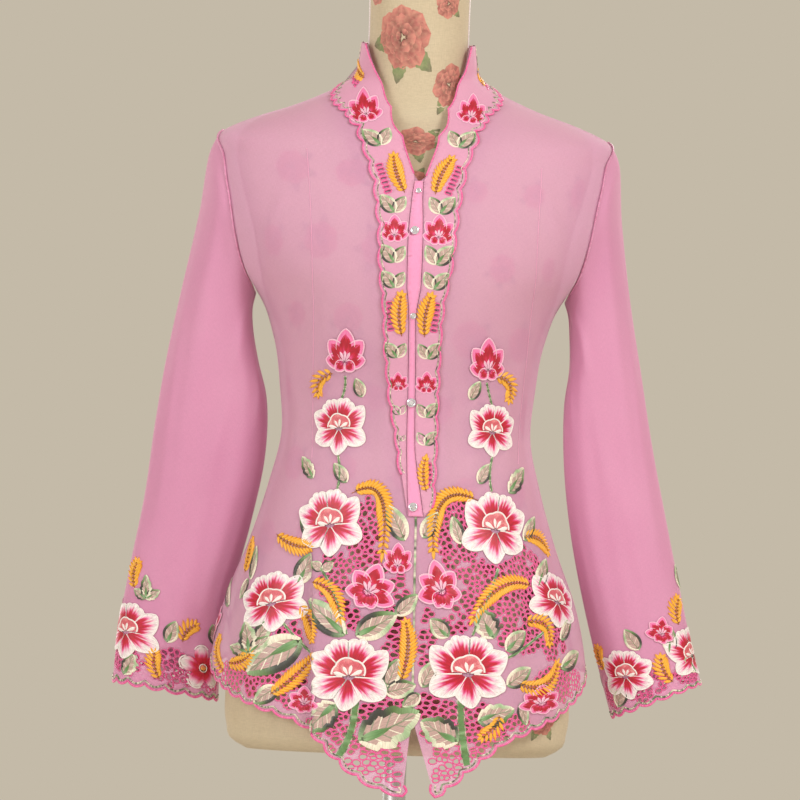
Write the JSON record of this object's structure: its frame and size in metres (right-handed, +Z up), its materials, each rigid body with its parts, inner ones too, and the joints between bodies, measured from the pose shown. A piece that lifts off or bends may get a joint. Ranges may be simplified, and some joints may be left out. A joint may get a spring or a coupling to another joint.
{
  "type": "kebaya blouse on a dress form stand",
  "caption": "Long-sleeved pink voile kebaya blouse with an embroidered cutwork front, pointed hem and scalloped lapel band, worn by a limbless dress form on a pole and round base.",
  "frame": {"origin": "centre of the base's underside, on the surface that the stand rests on", "axes": "+Z up, -Y is the front of the blouse, +X is the wearer's left"},
  "size_m": [0.5922, 0.28, 1.114],
  "materials": {
    "cotton_voile": "sheer plain-weave cotton voile with sewn flowers and cutwork near the hem and cuffs",
    "embroidered_band": "voile band with dense flower and leaf embroidery and a corded scalloped edge",
    "placket_cotton": "two layers of plain voile",
    "button_crystal": "faceted clear crystal",
    "form_linen": "cream linen cover",
    "stand_steel": "satin pale grey"
  },
  "bodies": {
    "root": {"front_right": "cotton_voile", "front_left": "cotton_voile", "back": "cotton_voile", "sleeve_right_front": "cotton_voile", "sleeve_right_back": "cotton_voile", "sleeve_left_front_upper": "cotton_voile", "sleeve_left_front_lower": "cotton_voile", "sleeve_left_back": "cotton_voile", "lapel_right": "embroidered_band", "lapel_left": "embroidered_band", "collar_back": "embroidered_band", "placket": "placket_cotton", "button_1": "button_crystal", "button_2": "button_crystal", "button_3": "button_crystal", "button_4": "button_crystal", "button_5": "button_crystal", "dress_form": "form_linen", "neck_cap": "form_linen", "stand_pole": "stand_steel", "stand_base": "stand_steel"}
  },
  "joints": []
}
